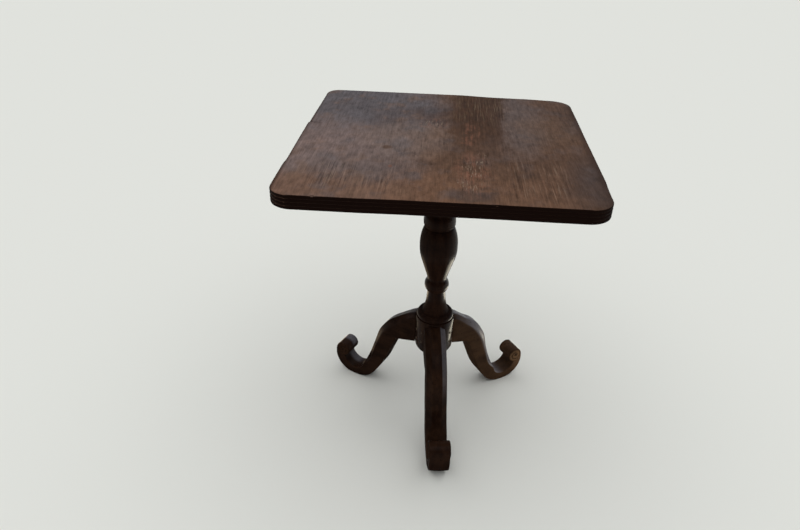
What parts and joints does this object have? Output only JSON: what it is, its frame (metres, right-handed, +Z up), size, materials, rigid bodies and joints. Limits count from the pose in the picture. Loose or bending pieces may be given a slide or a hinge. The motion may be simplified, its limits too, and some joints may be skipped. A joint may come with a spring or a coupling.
{
  "type": "tilt-top pedestal table",
  "caption": "Square tilt-top table with rounded corners and a reeded edge, on a turned baluster column with scroll-foot legs; the top tips upright and a brass bolt locks it level.",
  "frame": {"origin": "on the floor below the column's axis, the middle of the top's outline", "axes": "+Z up, +X to the right in the picture (across the boards), +Y away from the camera along the grain"},
  "size_m": [0.578, 0.598, 0.698],
  "materials": {
    "dark_wood": "old dark polish, worn lighter on the arrises",
    "bare_wood": "unpolished, oxidised underside",
    "top_wood": "worn dark polish, scuffed",
    "peg_wood": "plain",
    "iron": "dull, aged",
    "brass": "tarnished"
  },
  "bodies": {
    "base": {"column": "dark_wood", "tenon_wedge": "peg_wood", "pillar_block": "bare_wood", "pivot_pin_front": "iron", "pivot_pin_back": "iron", "strike_plate": "brass", "strike_screws": "brass", "leg_pegs": "peg_wood", "leg_front": "dark_wood", "leg_right": "dark_wood", "leg_left": "dark_wood"},
    "top": {"top_board_left": "top_wood", "top_board_middle": "top_wood", "top_board_right": "top_wood", "board_dowels": "peg_wood", "bearer_front": "bare_wood", "bearer_back": "bare_wood", "bearer_screws": "iron", "catch_plate": "brass", "catch_screws": "brass"},
    "bolt": {"catch_bolt": "brass", "catch_knob": "brass"}
  },
  "joints": [
    {"name": "top_tilt", "type": "hinge", "parent": "base", "child": "top", "pos_m": [0.0733, 0, 0.649], "axis": [0, 1, 0], "range_deg": [0, 90]},
    {"name": "bolt_slide", "type": "slide", "parent": "top", "child": "bolt", "axis": [1, 0, 0], "range_m": [0, 0.01]}
  ]
}
